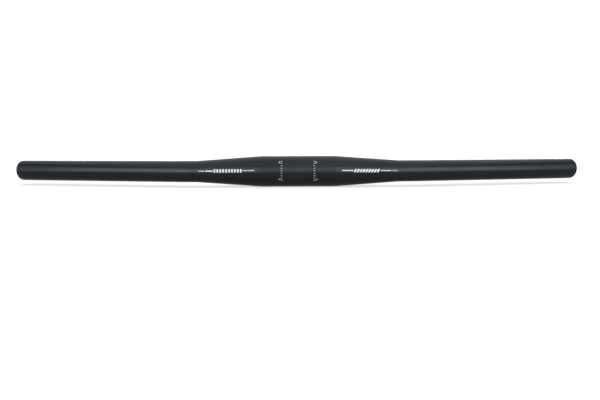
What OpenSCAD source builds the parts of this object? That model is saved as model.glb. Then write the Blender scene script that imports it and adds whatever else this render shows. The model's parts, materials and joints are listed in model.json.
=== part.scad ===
// Flat handlebar: one swaged and bent tube. X runs along the clamp seat, the grips sweep back
// towards +Y, Z is up, and the origin is the middle of the seat. Millimetres.

/* [Bar] */
// Width between the middles of the two cut ends
bar_w = 620; // [560:5:720]
// Angle by which each grip sweeps back from the line of the seat
sweep = 12; // [4:0.5:16]
// Radius of each bend, along the middle of the tube
bend_r = 100; // [70:5:160]

/* [Clamp seat] */
// Diameter of the seat that the stem holds
seat_d = 31.8; // [30:0.1:35]
// Length of the seat at its full diameter
seat_l = 68; // [50:1:90]
// Radius that rounds the seat over into the taper
shoulder_r = 120; // [40:5:200]
// Length over which the tube tapers from the seat to the grip
taper_l = 67; // [50:1:90]

/* [Grips] */
// Outer diameter of the tube under the grips
grip_d = 22.2; // [22:0.1:24]
// Round on the outer edge of each cut end
outer_lip_r = 0.8; // [0.3:0.1:0.9]
// Round on the inner edge of each cut end
inner_lip_r = 0.5; // [0.2:0.1:0.7]

/* [Wall] */
// Wall at the seat, where the tube is butted
seat_wall = 2.4; // [2:0.1:3.2]
// Wall in the bends and grips
grip_wall = 1.8; // [1.6:0.1:2.2]

/* [Hidden] */
$fn = 120;

// Steps in each shoulder and in each rounded edge
arc_steps = 8;
// How far the tapers and bends run on inside each other, and the bore past each end
lap = 2;

// Half angle of the outer taper, and the length of shoulder on each side of its corner
taper_a = atan((seat_d - grip_d) / 2 / taper_l);
shoulder_l = shoulder_r * tan(taper_a / 2);
// Where the taper leaves the line of the seat, and where it reaches the grip's size and the bend starts
corner_x = seat_l / 2 + shoulder_l;
bend_x = corner_x + taper_l;
// Straight length of each grip, from its bend to its end
grip_l = (bar_w / 2 - bend_x - bend_r * sin(sweep)) / cos(sweep);

// Points [x, y] of an arc round c from angle a0 to a1
function arc(c, r, a0, a1) =
    [for (i = [0:arc_steps]) let (a = a0 + (a1 - a0) * i / arc_steps) c + r * [cos(a), sin(a)]];

// The middle of the bar as a turned body: the seat, its shoulders and the two tapers
module spindle(seat_r, tube_r, round_r) {
    slope = (seat_r - tube_r) / taper_l;
    half_a = atan(slope);
    round_start = corner_x - round_r * tan(half_a / 2);
    half = concat(
        arc([seat_r - round_r, round_start], round_r, 0, half_a),
        [[tube_r - slope * lap, bend_x + lap], [0, bend_x + lap]]
    );
    last = len(half) - 1;
    other_half = [for (i = [last:-1:0]) [half[i].x, -half[i].y]];
    rotate([0, 90, 0]) rotate_extrude() polygon(concat(other_half, half));
}

// One bend and grip, as they lie with the grip along -X and the middle of the bend at the origin
module limb(tube_r, end_profile) {
    lap_a = lap / bend_r * 180 / PI;
    rotate_extrude(angle = sweep + lap_a, start = -90) translate([bend_r, 0]) circle(tube_r);
    translate([0, -bend_r, 0]) rotate([0, -90, 0]) rotate_extrude()
        polygon(concat([[0, 0], [tube_r, 0]], end_profile));
}

// The whole bar as a solid of one set of radii, for its outside and for its bore
module solid_bar(seat_r, tube_r, round_r, end_profile) {
    spindle(seat_r, tube_r, round_r);
    for (side = [0, 1])
        mirror([side, 0, 0]) translate([-bend_x, bend_r, 0]) rotate([0, 0, -sweep])
            limb(tube_r, end_profile);
}

// The tube: its outside, less a bore that follows it and opens at both ends
module handlebar() {
    grip_r = grip_d / 2;
    bore_r = grip_r - grip_wall;
    outer_end = concat(
        arc([grip_r - outer_lip_r, grip_l - outer_lip_r], outer_lip_r, 0, 90),
        [[0, grip_l]]
    );
    bore_end = concat(
        arc([bore_r + inner_lip_r, grip_l - inner_lip_r], inner_lip_r, 180, 90),
        [[bore_r + inner_lip_r, grip_l + lap], [0, grip_l + lap]]
    );
    color("#26282b") difference() {
        solid_bar(seat_d / 2, grip_r, shoulder_r, outer_end);
        solid_bar(seat_d / 2 - seat_wall, bore_r, shoulder_r - seat_wall, bore_end);
    }
}

handlebar();
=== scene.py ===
# %% [markdown]
# # A flat handlebar
# A flat bar is one aluminium tube. It starts thick, and is swaged, which means squeezed down in
# dies, from the seat in the middle to the two slim grips. Then it is bent a little on each side,
# cut square, blasted, anodised black and printed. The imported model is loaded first, because it
# holds the true sizes, and everything that is made here is measured from it.

import json
import math

import bmesh
import bpy
from mathutils import Matrix, Vector


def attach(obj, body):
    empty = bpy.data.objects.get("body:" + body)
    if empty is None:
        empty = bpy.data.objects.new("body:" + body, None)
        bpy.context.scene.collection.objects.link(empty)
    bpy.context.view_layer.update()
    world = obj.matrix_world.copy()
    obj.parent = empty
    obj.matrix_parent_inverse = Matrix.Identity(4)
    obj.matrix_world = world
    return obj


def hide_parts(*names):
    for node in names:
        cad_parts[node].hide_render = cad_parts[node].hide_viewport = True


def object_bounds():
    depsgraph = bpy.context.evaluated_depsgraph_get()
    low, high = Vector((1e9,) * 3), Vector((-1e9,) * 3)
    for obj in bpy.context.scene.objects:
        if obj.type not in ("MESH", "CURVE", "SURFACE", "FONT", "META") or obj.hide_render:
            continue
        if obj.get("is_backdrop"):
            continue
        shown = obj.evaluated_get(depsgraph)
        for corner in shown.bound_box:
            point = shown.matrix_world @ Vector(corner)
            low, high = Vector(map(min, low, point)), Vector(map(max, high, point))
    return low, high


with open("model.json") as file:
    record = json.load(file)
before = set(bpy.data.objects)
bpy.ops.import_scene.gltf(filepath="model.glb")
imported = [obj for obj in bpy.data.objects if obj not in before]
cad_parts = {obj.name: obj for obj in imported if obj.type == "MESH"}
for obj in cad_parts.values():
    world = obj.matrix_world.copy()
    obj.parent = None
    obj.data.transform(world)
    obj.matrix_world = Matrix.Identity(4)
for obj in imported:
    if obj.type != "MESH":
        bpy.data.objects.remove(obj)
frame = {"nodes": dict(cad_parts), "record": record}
cad_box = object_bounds()
print("nodes:", sorted(frame["nodes"]))
print("size in mm:", [round(1000 * side, 1) for side in cad_box[1] - cad_box[0]])

# %% [markdown]
# ## Sizes
# The mounts in the record say where the seat, the grips and the open ends are, so those sizes are
# read and not typed again. Seven more sizes describe what lies between the mounts. The bend is an
# arc that touches the line of the seat and the line of the grip, so its start follows from the
# point where those two lines cross.

# %% Read the mounts and work out the rest
MM = 0.001

mounts = {mount["name"]: mount for mount in frame["record"]["mounts"]}
seat_r = mounts["stem_clamp"]["dims"]["r_mm"] * MM
seat_l = mounts["stem_clamp"]["dims"]["length_mm"] * MM
grip_r = mounts["grip_right"]["dims"]["r_mm"] * MM
bore_r = mounts["end_bore_right"]["dims"]["r_mm"] * MM
grip_axis = Vector(mounts["grip_right"]["axis"]).normalized()
grip_point = Vector(mounts["grip_right"]["pos_m"])

bar_w = 620 * MM
bend_r = 100 * MM
taper_l = 67 * MM
shoulder_r = 120 * MM
seat_wall = 2.4 * MM
outer_lip_r = 0.8 * MM
inner_lip_r = 0.5 * MM

sweep = math.atan2(grip_axis.y, grip_axis.x)
lines_cross_x = grip_point.x - grip_point.y / math.tan(sweep)
bend_x = lines_cross_x - bend_r * math.tan(sweep / 2)
corner_x = bend_x - taper_l
grip_l = (bar_w / 2 - bend_x - bend_r * math.sin(sweep)) / math.cos(sweep)
print("sweep in degrees:", round(math.degrees(sweep), 2))
print("bend starts at, grip is long, in mm:", round(bend_x / MM, 2), round(grip_l / MM, 2))

# %% [markdown]
# ## Camera
# The photograph was taken from close by with a wide lens, hardly higher than the bar. That is why
# the middle looks fatter than it is, and why the ends seem to shrink away. The camera's place was
# found by fitting the known outline of the bar to the photographed one.

# %% Place the camera
camera = bpy.data.objects.new("camera", bpy.data.cameras.new("camera"))
bpy.context.scene.collection.objects.link(camera)
bpy.context.scene.camera = camera
camera.data.lens = 26.92
camera.data.sensor_width = 36
camera.data.clip_start = 0.01

camera_place = Vector((-1.4, -469.3, 24.3)) * MM
looks_down = math.radians(6.635)
looks_left = math.radians(-0.42)
leans = math.radians(-0.18)
camera.matrix_world = (
    Matrix.Translation(camera_place)
    @ Matrix.Rotation(looks_left, 4, "Z")
    @ Matrix.Rotation(math.radians(90) - looks_down, 4, "X")
    @ Matrix.Rotation(leans, 4, "Z")
)
print("camera is from the seat, in mm:", round(camera_place.length / MM))

# %% [markdown]
# ## The tube
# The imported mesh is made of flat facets, up to a seventh of a millimetre off the true curve, and
# a satin tube shows such facets in its long highlights. So the same tube is made again with finer
# steps. It could be a curve with a bevel, but a curve can't follow the two walls, which are thick
# at the seat and thin at the grips. Instead one ring of edges is carried along the bar and
# extruded as it goes, once for the outside and once for the bore. The stations are the places
# where it stops on its way, and they lie closest where the tube changes fastest.

# %% Describe the swaged middle
SEAT_STEPS = 4
SHOULDER_STEPS = 12
TAPER_STEPS = 12


def radius_at(x, thick, slim, round_r):
    """Radius at x metres from the middle: the seat, its rounded shoulder, then the taper."""
    slope = (thick - slim) / taper_l
    half_a = math.atan(slope)
    round_from = corner_x - round_r * math.tan(half_a / 2)
    round_to = round_from + round_r * math.sin(half_a)
    if x <= round_from:
        return thick
    if x < round_to:
        return thick - round_r + math.sqrt(round_r ** 2 - (x - round_from) ** 2)
    return thick - slope * (x - corner_x)


def steps(start, end, count):
    """Evenly spaced values after start, up to and with end."""
    return [start + (end - start) * i / count for i in range(1, count + 1)]


shoulder_l = corner_x - seat_l / 2
stations = (
    steps(0, corner_x - shoulder_l, SEAT_STEPS)
    + steps(corner_x - shoulder_l, corner_x + shoulder_l, SHOULDER_STEPS)
    + steps(corner_x + shoulder_l, bend_x, TAPER_STEPS)
)
for x in stations[3::4]:
    print("x", round(x / MM, 1), "radius", round(radius_at(x, seat_r, grip_r, shoulder_r) / MM, 2))

# %% Carry a ring along half of the bar
ROUND = 128
BEND_STEPS = 12
GRIP_STEPS = 24


def boundary(made):
    """The open edges among what an operator made."""
    return [part for part in made if isinstance(part, bmesh.types.BMEdge) and part.is_boundary]


def corners(made):
    """The vertices among what an operator made."""
    return [part for part in made if isinstance(part, bmesh.types.BMVert)]


def half_surface(bm, thick, slim, round_r):
    """Extrudes one skin from the middle of the seat to the right end, and returns its last ring."""
    turn_to_x = Matrix.Rotation(math.radians(90), 4, "Y")
    ring = bmesh.ops.create_circle(bm, segments=ROUND, radius=thick, matrix=turn_to_x)["verts"]
    edges = list({edge for vert in ring for edge in vert.link_edges})
    at, size = 0, thick
    for x in stations:
        new_size = radius_at(x, thick, slim, round_r)
        made = bmesh.ops.extrude_edge_only(bm, edges=edges)["geom"]
        bmesh.ops.scale(bm, verts=corners(made), vec=(1, new_size / size, new_size / size))
        bmesh.ops.translate(bm, verts=corners(made), vec=(x - at, 0, 0))
        edges, at, size = boundary(made), x, new_size
    made = bmesh.ops.spin(
        bm, geom=corners(made) + edges, cent=(bend_x, bend_r, 0), axis=(0, 0, 1), dvec=(0, 0, 0),
        angle=sweep, steps=BEND_STEPS, use_merge=False, use_duplicate=False,
    )["geom_last"]
    edges = boundary(made)
    for _ in range(GRIP_STEPS):
        made = bmesh.ops.extrude_edge_only(bm, edges=edges)["geom"]
        bmesh.ops.translate(bm, verts=corners(made), vec=grip_axis * grip_l / GRIP_STEPS)
        edges = boundary(made)
    return edges


tube_mesh = bmesh.new()
outer_rim = half_surface(tube_mesh, seat_r, grip_r, shoulder_r)
half_surface(tube_mesh, seat_r - seat_wall, bore_r, shoulder_r - seat_wall)
print("faces in the two skins of one half:", len(tube_mesh.faces))

# %% [markdown]
# ## The cut end
# The tube is cut square and its edges are broken, so that grips slide on without being scraped.
# Bridging the two rims could make the cut face, but on rings that lie inside each other it may
# join each point to its mirror image. So the outer rim is extruded inwards until it meets the
# bore, and the points that meet are merged. A bevel with several segments rounds each edge to its
# own radius, once the faces of both skins agree on which side is out.

# %% Close the end and round its edges
MERGE = 0.01 * MM
LIP_STEPS = 6

bend_end = Vector((bend_x + bend_r * math.sin(sweep), bend_r * (1 - math.cos(sweep)), 0))
end_middle = bend_end + grip_axis * grip_l


def rim(bm, radius):
    """The edges of the circle of this radius in the cut end."""
    return [
        edge for edge in bm.edges
        if all(abs((vert.co - end_middle).length - radius) < MERGE
               and abs((vert.co - end_middle).dot(grip_axis)) < MERGE for vert in edge.verts)
    ]


made = bmesh.ops.extrude_edge_only(tube_mesh, edges=outer_rim)["geom"]
shrink = (bore_r / grip_r,) * 3
bmesh.ops.scale(tube_mesh, verts=corners(made), vec=shrink, space=Matrix.Translation(-end_middle))
bmesh.ops.remove_doubles(tube_mesh, verts=tube_mesh.verts[:], dist=MERGE)
bmesh.ops.recalc_face_normals(tube_mesh, faces=tube_mesh.faces[:])
for radius, lip_r in ((grip_r, outer_lip_r), (bore_r, inner_lip_r)):
    bmesh.ops.bevel(
        tube_mesh, geom=rim(tube_mesh, radius), offset=lip_r, offset_type="OFFSET",
        affect="EDGES", segments=LIP_STEPS, profile=0.5, material=-1,
    )
print("faces in one half with its end:", len(tube_mesh.faces))

# %% [markdown]
# ## The other half
# The bar is the same on both sides, so the half is mirrored and the two are merged where they
# meet. The normals are then worked out again, because a mirror turns faces inside out. The volume
# is printed, and it should be the metal of the tube. Every piece keeps its place in its mesh, and
# its object stays at the origin, so that patterns read the same coordinates as the scene.

# %% Mirror the half and make the piece
def new_piece(name, bm, smooth=True):
    """Turns a bmesh into an object that sits at the origin."""
    mesh = bpy.data.meshes.new(name)
    bm.to_mesh(mesh)
    bm.free()
    mesh.polygons.foreach_set("use_smooth", [smooth] * len(mesh.polygons))
    piece = bpy.data.objects.new(name, mesh)
    bpy.context.scene.collection.objects.link(piece)
    return piece


half = tube_mesh.verts[:] + tube_mesh.edges[:] + tube_mesh.faces[:]
bmesh.ops.mirror(tube_mesh, geom=half, axis="X", merge_dist=MERGE)
bmesh.ops.remove_doubles(tube_mesh, verts=tube_mesh.verts[:], dist=MERGE)
bmesh.ops.recalc_face_normals(tube_mesh, faces=tube_mesh.faces[:])
open_edges = sum(not edge.is_manifold for edge in tube_mesh.edges)
metal = tube_mesh.calc_volume(signed=True)
print("open edges:", open_edges, "metal in cm3:", round(metal * 1e6, 2))
tube = new_piece("swaged_tube", tube_mesh)

# %% [markdown]
# ## Coordinates from before the bend
# Marks from drawing and swaging run along the tube, and they were there before it was bent. So
# each vertex remembers where it lay in the straight tube, in an attribute of its own. A pattern
# that reads it follows the bends, and has no seam anywhere.

# %% Remember the straight tube
def straightened(point):
    """Where a point of the bar lay before the tube was bent."""
    side = math.copysign(1, point.x)
    x, y = abs(point.x) - bend_x, bend_r - point.y
    turned = math.atan2(x, y)
    if turned <= 0:
        return point.copy()
    if turned < sweep:
        along, off = bend_r * turned, bend_r - math.hypot(x, y)
    else:
        along = bend_r * sweep + x * math.cos(sweep) - y * math.sin(sweep)
        off = bend_r - (x * math.sin(sweep) + y * math.cos(sweep))
    return Vector((side * (bend_x + along), off, point.z))


was_at = tube.data.attributes.new("straight_tube", "FLOAT_VECTOR", "POINT")
for vert in tube.data.vertices:
    was_at.data[vert.index].vector = straightened(vert.co)
straight_l = 2 * max(entry.vector.x for entry in was_at.data)
print("length of the straight tube in mm:", round(straight_l / MM, 1))

# %% [markdown]
# ## Printed marks
# The white marks are pad printed: a soft pad lifts ink from an etched plate and rolls it onto the
# tube, some hundredths of a millimetre thick. The tube's own material could paint them, but then
# the mesh would know nothing of them. Here each mark is cut from a flat sheet of ink, whose x runs
# along the tube and whose y runs round it, and the sheet is then rolled on.

# %% Cut bars from flat ink
FINE = 0.5


def bar(bm, x, y, along, across, lean=0.0):
    """Lays down a bar, in mm from the middle of the seat and from the print line."""
    # It is cut across every FINE millimetres, so that it can bend round the tube.
    made = bmesh.ops.create_grid(
        bm, x_segments=1, y_segments=math.ceil(across / FINE), size=MM / 2,
    )["verts"]
    slant = Matrix.Identity(4)
    slant[0][1] = math.tan(lean)
    stretch = Matrix.Diagonal((along, across, 1, 1))
    place = Matrix.Translation((x * MM, y * MM, 0)) @ slant @ stretch
    bmesh.ops.transform(bm, matrix=place, verts=made)


def row(bm, first_x, gap, y, along, widths, lean=0.0):
    """Lays down bars of one length at even gaps, one for each width across."""
    for i, across in enumerate(widths):
        bar(bm, first_x + gap * i, y, along, across, lean)


print("a bar is cut across every, in mm:", FINE)

# %% Cut triangles from flat ink
TRIANGLE_R = 1.2 * MM
OUTLINE_W = 0.24 * MM
TRIANGLE_CUTS = 3


def triangle(bm, x, y, outline=False):
    """Lays down a triangle that points at the middle of the seat."""
    aim = Matrix.Rotation(math.copysign(math.radians(90), x), 4, "Z")
    place = Matrix.Translation((x * MM, y * MM, 0)) @ aim
    made = bmesh.ops.create_circle(bm, segments=3, radius=TRIANGLE_R, cap_ends=True, matrix=place)
    faces = made["verts"][0].link_faces[:]
    if outline:
        middle = faces
        faces = bmesh.ops.inset_region(
            bm, faces=middle, thickness=OUTLINE_W, use_boundary=True, use_even_offset=True,
        )["faces"]
        bmesh.ops.delete(bm, geom=middle, context="FACES")
    edges = list({edge for face in faces for edge in face.edges})
    bmesh.ops.subdivide_edges(bm, edges=edges, cuts=TRIANGLE_CUTS, use_grid_fill=True)


print("a triangle is high, in mm:", round(1.5 * TRIANGLE_R / MM, 2))

# %% Roll the ink on
PRINT_LINE = math.radians(4.7)
INK_SUNK = 0.01 * MM
INK_PROUD = 0.02 * MM


def roll_on(name, bm):
    """Gives flat ink its thickness, rolls it onto the front of the tube and makes it a piece."""
    bmesh.ops.translate(bm, verts=bm.verts[:], vec=(0, 0, -INK_SUNK))
    top = bmesh.ops.extrude_face_region(bm, geom=bm.faces[:])["geom"]
    bmesh.ops.translate(bm, verts=corners(top), vec=(0, 0, INK_SUNK + INK_PROUD))
    for vert in bm.verts:
        x, round_by, proud = vert.co
        size = radius_at(abs(x), seat_r, grip_r, shoulder_r)
        angle = PRINT_LINE + round_by / size
        vert.co = (x, -(size + proud) * math.cos(angle), (size + proud) * math.sin(angle))
    bmesh.ops.recalc_face_normals(bm, faces=bm.faces[:])
    open_edges = sum(not edge.is_manifold for edge in bm.edges)
    print(name, "faces:", len(bm.faces), "open edges:", open_edges)
    return new_piece(name, bm, smooth=False)


print("the print line is up from the front, in degrees:", round(math.degrees(PRINT_LINE), 1))

# %% [markdown]
# ## The scales
# The two scales let a rider set the same angle again after taking the bar out of its stem. Each
# has nine ticks, 9.4 degrees apart, so that a tick is worth about 2.6 mm round the seat. A solid
# triangle stands between its upper two ticks and an open one between its lower two, to tell the
# top from the bottom.

# %% Print the two scales
TICKS = 9
TICK_GAP = math.radians(9.4) * seat_r / MM
TRIANGLE_UP = 3.5 * TICK_GAP

ink = bmesh.new()
for side in (-1, 1):
    for i in range(TICKS):
        bar(ink, x=side * 16.6, y=(i - TICKS // 2) * TICK_GAP, along=1.45, across=0.44)
    triangle(ink, x=side * 18.6, y=TRIANGLE_UP)
    triangle(ink, x=side * 18.7, y=-TRIANGLE_UP, outline=True)
scales = roll_on("index_scales", ink)
print("a tick is worth, in mm:", round(TICK_GAP, 2))

# %% [markdown]
# ## The stripes
# On each taper a band of plain bars sits between two thin lines, and fades out towards the grip in
# a few short dashes. The left one has upright bars and a row of dashes towards the middle, the
# right one leaning bars. All lengths are millimetres on the flat ink.

# %% Print the left stripes
ink = bmesh.new()
row(ink, first_x=-96.6, gap=-2.0, y=0, along=1.1, widths=(1.1, 0.95, 0.8))
bar(ink, x=-90.7, y=0, along=7.8, across=1.05)
row(ink, first_x=-84.9, gap=3.0, y=0.15, along=1.7, widths=(3.3,) * 10)
row(ink, first_x=-55.2, gap=1.32, y=0.4, along=0.95, widths=(0.95,) * 9)
left_stripes = roll_on("left_stripes", ink)

# %% Print the right stripes
ink = bmesh.new()
bar(ink, x=50.5, y=0.1, along=11.6, across=1.0)
row(ink, first_x=58.2, gap=2.95, y=-0.1, along=2.0, widths=(3.2,) * 9, lean=math.radians(28))
bar(ink, x=89.7, y=0, along=10.6, across=0.8)
row(ink, first_x=97.2, gap=2, y=0, along=0.6, widths=(1.7, 1.5, 1.3))
right_stripes = roll_on("right_stripes", ink)

# %% [markdown]
# ## Three helpers for every finish
# Colours are written as the hex values that a colour picker shows, and one function turns them
# into the linear numbers that Blender works with. Another adds a node, sets it and links it, so
# that a finish reads from top to bottom like a recipe. The third turns the real size of a pattern
# into the scale that a noise wants.

# %% Make the helpers
def colour(hex_code):
    """A hex colour such as #24262a as linear red, green and blue, with full alpha."""
    shares = [int(hex_code[i:i + 2], 16) / 255 for i in (1, 3, 5)]
    return [s / 12.92 if s <= 0.04045 else ((s + 0.055) / 1.055) ** 2.4 for s in shares] + [1.0]


def add_node(tree, kind, inputs=None, **settings):
    """Adds a node, sets its properties, and gives its inputs a value or another node's output."""
    made = tree.nodes.new(kind)
    for name, value in settings.items():
        setattr(made, name, value)
    for name, value in (inputs or {}).items():
        if isinstance(value, bpy.types.NodeSocket):
            tree.links.new(value, made.inputs[name])
        else:
            made.inputs[name].default_value = value
    return made


def per_metre(size_mm):
    """How often a pattern with features of this size repeats in one metre."""
    return 1000 / size_mm


print("mid grey #808080 is linear", round(colour("#808080")[0], 3))

# %% [markdown]
# ## Satin black anodised aluminium
# Anodising grows a clear, hard oxide on the metal and fills its pores with black dye. It stays a
# metal to the eye: it has no pale haze of its own, and only mirrors its surroundings darkly. So
# the colour below is the dark mirror's own. The dye takes a little unevenly, which is drawn as
# clouds as wide as two fingers. A plain colour would do from far off, but looks like plastic.

# %% Mix the dye
DARK_DYE = "#1e2022"
PALE_DYE = "#25282a"

anodised = bpy.data.materials.new("satin_black_anodised_aluminium")
anodised.use_nodes = True
tree = anodised.node_tree
tree.nodes.clear()

straight = add_node(tree, "ShaderNodeAttribute", attribute_name="straight_tube").outputs["Vector"]
clouds = add_node(
    tree, "ShaderNodeTexNoise", {"Vector": straight, "Scale": per_metre(35), "Detail": 2.0},
)
dye = add_node(
    tree, "ShaderNodeMix",
    {"Factor": clouds.outputs["Fac"], "A": colour(DARK_DYE), "B": colour(PALE_DYE)},
    data_type="RGBA",
)
print("the dark dye is linear", [round(share, 4) for share in colour(DARK_DYE)[:3]])

# %% [markdown]
# ## Streaks, grit and ripple
# Drawing and swaging leave long, faint streaks in the surface, and a slow ripple that makes each
# reflection wander a little. The blasting after them leaves a fine grit that spreads reflections
# into soft bands. All three are noise that reads the straight tube, each at its real size. The
# streaks could be grooves in the mesh, but they are far too shallow to be worth the faces.

# %% Draw the marks of making
# Draw marks are 90 mm long and under a millimetre wide.
stretch = add_node(
    tree, "ShaderNodeMapping",
    {"Vector": straight, "Scale": (per_metre(90), per_metre(0.8), per_metre(0.8))},
)
streaks = add_node(
    tree, "ShaderNodeTexNoise", {"Vector": stretch.outputs["Vector"], "Scale": 1.0, "Detail": 2.0},
)
# Blasting grit leaves pits of about 0.15 mm, too fine for a whole view, so 0.3 mm is drawn.
grit = add_node(
    tree, "ShaderNodeTexNoise", {"Vector": straight, "Scale": per_metre(0.3), "Detail": 1.0},
)
# The ripple of swaging is about 22 mm long.
ripple = add_node(
    tree, "ShaderNodeTexNoise", {"Vector": straight, "Scale": per_metre(22), "Detail": 0.0},
)
print("patterns in the finish:", sum(node.type == "TEX_NOISE" for node in tree.nodes))

# %% Put the finish together
RIPPLE_DEEP = 0.06 * MM
STREAK_DEEP = 0.002 * MM
GRIT_DEEP = 0.006 * MM

rough = add_node(
    tree, "ShaderNodeMapRange",
    {"Value": streaks.outputs["Fac"], "From Min": 0.3, "From Max": 0.7,
     "To Min": 0.24, "To Max": 0.31},
)
ripple_bump = add_node(
    tree, "ShaderNodeBump",
    {"Height": ripple.outputs["Fac"], "Strength": 1.0, "Distance": RIPPLE_DEEP},
)
streak_bump = add_node(
    tree, "ShaderNodeBump",
    {"Height": streaks.outputs["Fac"], "Strength": 1.0, "Distance": STREAK_DEEP,
     "Normal": ripple_bump.outputs["Normal"]},
)
grit_bump = add_node(
    tree, "ShaderNodeBump",
    {"Height": grit.outputs["Fac"], "Strength": 1.0, "Distance": GRIT_DEEP,
     "Normal": streak_bump.outputs["Normal"]},
)
# The dye swallows a little light at flat angles too, so the edge tint isn't quite white.
surface = add_node(
    tree, "ShaderNodeBsdfPrincipled",
    {"Base Color": dye.outputs["Result"], "Metallic": 1.0, "Roughness": rough.outputs["Result"],
     "Specular Tint": colour("#dcdcdc"), "Normal": grit_bump.outputs["Normal"]},
)
add_node(tree, "ShaderNodeOutputMaterial", {"Surface": surface.outputs["BSDF"]})
tube.data.materials.append(anodised)
print("nodes in the finish:", len(tree.nodes))

# %% [markdown]
# ## White printing ink
# Pad ink dries to a thin, half-matt film. It is thin enough for the black below to dull it a
# little, unevenly, and it has the fine orange-peel skin of something that was laid on wet. Both
# are noise on Object coordinates, which lie still on the ink, because its piece is never moved.

# %% Make the ink
SKIN_DEEP = 0.004 * MM

ink_finish = bpy.data.materials.new("half_matt_white_pad_ink")
ink_finish.use_nodes = True
tree = ink_finish.node_tree
tree.nodes.clear()

place = add_node(tree, "ShaderNodeTexCoord").outputs["Object"]
# The film varies in thickness over about 0.8 mm.
film = add_node(
    tree, "ShaderNodeTexNoise", {"Vector": place, "Scale": per_metre(0.8), "Detail": 3.0},
)
white = add_node(
    tree, "ShaderNodeMix",
    {"Factor": film.outputs["Fac"], "A": colour("#dcdddd"), "B": colour("#f2f3f3")},
    data_type="RGBA",
)
# The skin of dried ink has bumps of about 0.25 mm.
skin = add_node(tree, "ShaderNodeTexNoise", {"Vector": place, "Scale": per_metre(0.25)})
matt = add_node(
    tree, "ShaderNodeMapRange",
    {"Value": skin.outputs["Fac"], "From Min": 0.3, "From Max": 0.7,
     "To Min": 0.4, "To Max": 0.5},
)
skin_bump = add_node(
    tree, "ShaderNodeBump",
    {"Height": skin.outputs["Fac"], "Strength": 1.0, "Distance": SKIN_DEEP},
)
surface = add_node(
    tree, "ShaderNodeBsdfPrincipled",
    {"Base Color": white.outputs["Result"], "Roughness": matt.outputs["Result"],
     "Normal": skin_bump.outputs["Normal"]},
)
add_node(tree, "ShaderNodeOutputMaterial", {"Surface": surface.outputs["BSDF"]})
prints = (scales, left_stripes, right_stripes)
for piece in prints:
    piece.data.materials.append(ink_finish)
print("pieces of ink:", len(prints))

# %% [markdown]
# ## The white sheet
# A white sheet lies under the bar, which touches it with the underside of its seat. The camera
# and the tube's reflections see the sheet as good as white, because part of its brightness is a
# glow that only they see. The other part comes from the lamps, so the bar's shadow stays on it.
# Farther away, where the lamps are weak, the glow makes up for them.

# %% Lay the sheet
SHEET_W = 8

floor_mesh = bmesh.new()
bmesh.ops.create_grid(floor_mesh, x_segments=1, y_segments=1, size=SHEET_W / 2)
bmesh.ops.translate(floor_mesh, verts=floor_mesh.verts[:], vec=(0, 0, -seat_r))
floor = new_piece("white_sheet", floor_mesh, smooth=False)
floor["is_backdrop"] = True
print("sheet is wide, in metres:", SHEET_W)

# %% Make the paper
NEAR = 0.4
FAR = 1.6
GLOW_NEAR = 0.6
GLOW_FAR = 1.0


def share_seen(tree):
    """1 for a ray from the camera or from a mirror or glass, and 0 for one that carries light."""
    ray = add_node(tree, "ShaderNodeLightPath")
    share = ray.outputs["Is Camera Ray"]
    for kind in ("Is Glossy Ray", "Is Transmission Ray"):
        share = add_node(
            tree, "ShaderNodeMath", {0: share, 1: ray.outputs[kind]}, operation="MAXIMUM",
        ).outputs[0]
    return share


paper = bpy.data.materials.new("white_paper")
paper.use_nodes = True
# The glow lights nothing, so Cycles needn't look for light in the sheet.
paper.cycles.emission_sampling = "NONE"
tree = paper.node_tree
tree.nodes.clear()
place = add_node(tree, "ShaderNodeTexCoord").outputs["Object"]
# The glow rises with the distance from the bar, in metres.
away = add_node(tree, "ShaderNodeVectorMath", {0: place}, operation="LENGTH")
glow = add_node(
    tree, "ShaderNodeMapRange",
    {"Value": away.outputs["Value"], "From Min": NEAR, "From Max": FAR,
     "To Min": GLOW_NEAR, "To Max": GLOW_FAR},
)
lit = add_node(tree, "ShaderNodeBsdfDiffuse", {"Color": colour("#f7f7f7")})
partly_lit = add_node(tree, "ShaderNodeBsdfDiffuse", {"Color": colour("#bcbcbc")})
glowing = add_node(tree, "ShaderNodeEmission", {"Strength": glow.outputs["Result"]})
seen = add_node(tree, "ShaderNodeAddShader", {0: partly_lit.outputs[0], 1: glowing.outputs[0]})
both = add_node(
    tree, "ShaderNodeMixShader", {"Fac": share_seen(tree), 1: lit.outputs[0], 2: seen.outputs[0]},
)
add_node(tree, "ShaderNodeOutputMaterial", {"Surface": both.outputs[0]})
floor.data.materials.append(paper)
print("nodes in the paper:", len(tree.nodes))

# %% [markdown]
# ## Lamps
# Black metal shows nothing but what it mirrors, so the lamps are laid out by what the tube should
# mirror: two wide boxes overhead, a bank of boxes in front that fades upwards, two boxes far out at
# the sides, and long strips low down in front and behind, which draw the pale line along the
# grips. Metal this dark needs bright strips, and they would bleach the white ink. So the strips
# and the two side boxes are for the sheen only, and matt surfaces don't see them. A lamp's power
# is worked out from how bright it looks in a mirror, because that is what the tube shows.

# %% Build the softboxes
LAMPS_AWAY = 1.35
LAMPS_ABOVE = 1.1


def softbox(name, place, aim, width, height, brightness, tint="#ffffff", sheen_only=False):
    """An area lamp that looks brightness times as bright as white paper in a mirror."""
    lamp = bpy.data.lights.new(name, "AREA")
    lamp.shape = "RECTANGLE"
    lamp.size, lamp.size_y = width, height
    lamp.energy = brightness * math.pi * width * height
    lamp.color = colour(tint)[:3]
    box = bpy.data.objects.new(name, lamp)
    bpy.context.scene.collection.objects.link(box)
    box.location = place
    box.rotation_euler = (Vector(aim) - Vector(place)).to_track_quat("-Z", "Y").to_euler()
    box.visible_camera = False
    box.visible_diffuse = not sheen_only


def hanging_box(name, y, **settings):
    """A softbox above the bar that looks straight down."""
    softbox(name, (0, y, LAMPS_ABOVE), (0, y, 0), **settings)


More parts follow.
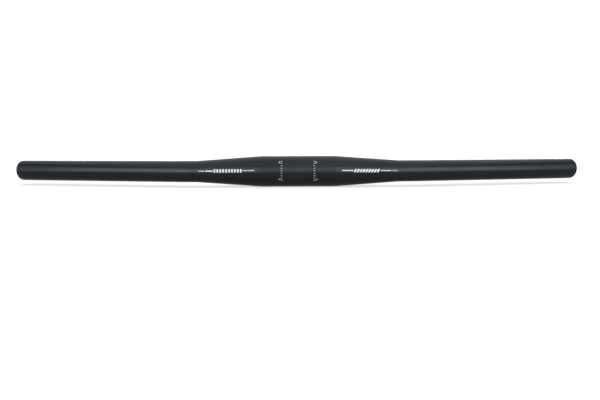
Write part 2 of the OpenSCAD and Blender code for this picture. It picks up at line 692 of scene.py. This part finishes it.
def standing_box(name, azimuth, elevation, **settings):
    """A softbox round the bar, turned towards it. Azimuth 0 is in front. Both are in degrees."""
    turn, lift = math.radians(azimuth), math.radians(elevation)
    place = LAMPS_AWAY * Vector((
        math.sin(turn) * math.cos(lift), -math.cos(turn) * math.cos(lift), math.sin(lift),
    ))
    softbox(name, place, (0, 0, 0), **settings)


print("standing boxes are away, in metres:", LAMPS_AWAY)

# %% Hang and stand the wide boxes
hanging_box("overhead", y=-0.475, width=2.4, height=1.05, brightness=1.1)
hanging_box("overhead_back", y=0.65, width=2.4, height=1.2, brightness=1.5)
standing_box("front_top", azimuth=0, elevation=40, width=2.0, height=0.45, brightness=0.9)
standing_box(
    "front_middle", azimuth=0, elevation=15.5,
    width=0.7, height=0.68, brightness=2.9, tint="#eeebff",
)
for side, word in ((-1, "left"), (1, "right")):
    standing_box(
        "far_" + word, azimuth=side * 70, elevation=14,
        width=0.5, height=0.7, brightness=1.3,
    )
print("wide boxes:", len(bpy.data.lights))

# %% Stand the boxes for the sheen
for side, word, box_up, box_bright, inner_bright, outer_bright, tint in (
    (-1, "left", 17.5, 4.4, 9.4, 6.2, "#ffffff"),
    (1, "right", 19.5, 4.8, 7.9, 6.7, "#f2fbff"),
):
    standing_box(
        "side_" + word, azimuth=side * 37, elevation=box_up,
        width=1.06, height=0.46, brightness=box_bright, tint=tint, sheen_only=True,
    )
    standing_box(
        "inner_strip_" + word, azimuth=side * 27, elevation=4.4,
        width=0.52, height=0.23, brightness=inner_bright, tint=tint, sheen_only=True,
    )
    standing_box(
        "outer_strip_" + word, azimuth=side * 48.5, elevation=4.4,
        width=0.5, height=0.23, brightness=outer_bright, tint=tint, sheen_only=True,
    )
for azimuth, word in ((-143, "left"), (180, "middle"), (143, "right")):
    standing_box(
        "back_strip_" + word, azimuth=azimuth, elevation=5,
        width=0.8, height=0.2, brightness=8.0, tint="#f2fbff", sheen_only=True,
    )
print("lamps in all:", len(bpy.data.lights))

# %% [markdown]
# ## The white room
# The photograph is a cut-out on pure white. So the world is white where the camera looks at it or
# the metal mirrors it. It gives only a little light of its own, because a strong even light would
# wash out the bar's shadow.

# %% Make the world white
FILL = 0.1

world = bpy.data.worlds.new("white_room")
bpy.context.scene.world = world
world.use_nodes = True
tree = world.node_tree
tree.nodes.clear()
fill = add_node(tree, "ShaderNodeBackground", {"Color": colour("#ffffff"), "Strength": FILL})
white = add_node(tree, "ShaderNodeBackground", {"Color": colour("#ffffff"), "Strength": 1.0})
room = add_node(
    tree, "ShaderNodeMixShader", {"Fac": share_seen(tree), 1: fill.outputs[0], 2: white.outputs[0]},
)
add_node(tree, "ShaderNodeOutputWorld", {"Surface": room.outputs[0]})
bpy.context.scene.view_settings.view_transform = "Standard"
print("light that fills the shadows:", FILL)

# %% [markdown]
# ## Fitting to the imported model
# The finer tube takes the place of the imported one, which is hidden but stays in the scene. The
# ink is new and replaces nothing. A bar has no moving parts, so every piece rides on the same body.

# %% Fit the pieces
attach(tube, "root")
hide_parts("handlebar")
for piece in prints:
    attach(piece, "root")

print("pieces:", [piece.name for piece in (tube,) + prints])

# %% [markdown]
# ## The size difference
# A dressed bar that outgrew the imported one would no longer fit the stem and grips that were
# planned for it. So its box is set against the imported one's, and the difference is printed. The
# finer tube may reach past the packed facets by as much as those lie inside the true curve.

# %% Print the size difference and finish
seen_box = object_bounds()
bigger = (seen_box[1] - seen_box[0]) - (cad_box[1] - cad_box[0])
print("bigger than the packed model, in mm:", [round(side / MM, 3) for side in bigger])
